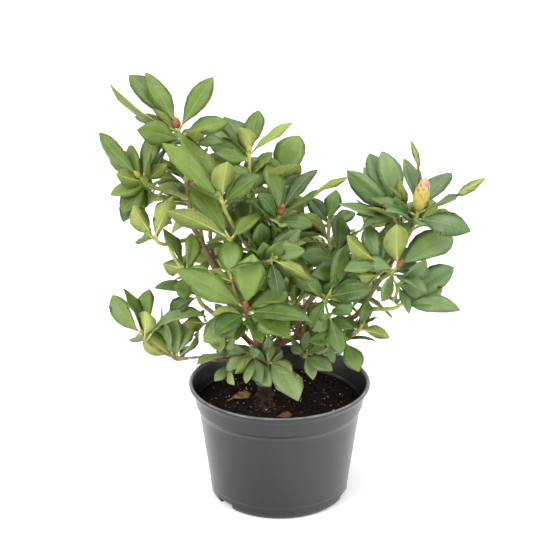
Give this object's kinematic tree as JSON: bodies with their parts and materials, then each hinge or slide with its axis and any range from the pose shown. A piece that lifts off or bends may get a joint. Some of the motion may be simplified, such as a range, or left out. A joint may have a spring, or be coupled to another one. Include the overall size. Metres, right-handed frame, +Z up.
{
  "type": "potted rhododendron",
  "caption": "Young evergreen shrub with whorls of long leaves and fat buds, growing from a short trunk in a round plastic nursery pot of soil.",
  "frame": {"origin": "on the ground under the middle of the pot, at the pot's flat underside", "axes": "+Z up the plant; the side that the picture shows faces -Y, with +X to its right"},
  "size_m": [0.4621, 0.3361, 0.5407],
  "materials": {
    "pot_plastic": "satin dark grey, with a rolled rim and faint vertical shine",
    "soil": "moist dark peat with white perlite specks",
    "bark": "rough reddish brown, greener towards the tips",
    "foliage": "leathery green, glossy above and paler below"
  },
  "bodies": {
    "root": {"bough_back": "bark", "bough_back_left": "bark", "bough_back_right": "bark", "bough_front": "bark", "bough_left": "bark", "bough_left_low": "bark", "bough_left_top": "bark", "bough_middle": "bark", "bough_right": "bark", "bough_right_inner": "bark", "bough_right_top": "bark", "bough_rim": "bark", "leaves_arm": "foliage", "leaves_core": "foliage", "leaves_crest": "foliage", "leaves_face": "foliage", "leaves_foot": "foliage", "leaves_foot_right": "foliage", "leaves_heart": "foliage", "leaves_left_low": "foliage", "leaves_low_left": "foliage", "leaves_middle": "foliage", "leaves_rear_crest": "foliage", "leaves_rear_left": "foliage", "leaves_rear_low": "foliage", "leaves_rear_low_left": "foliage", "leaves_rear_mid": "foliage", "leaves_rear_right": "foliage", "leaves_rear_top": "foliage", "leaves_right_crown": "foliage", "leaves_right_front": "foliage", "leaves_right_inner": "foliage", "leaves_right_low": "foliage", "leaves_right_tip": "foliage", "leaves_rim": "foliage", "leaves_shoulder": "foliage", "leaves_top": "foliage", "leaves_upper_left": "foliage", "leaves_waist": "foliage", "pot": "pot_plastic", "soil": "soil", "trunk": "bark"}
  },
  "joints": []
}
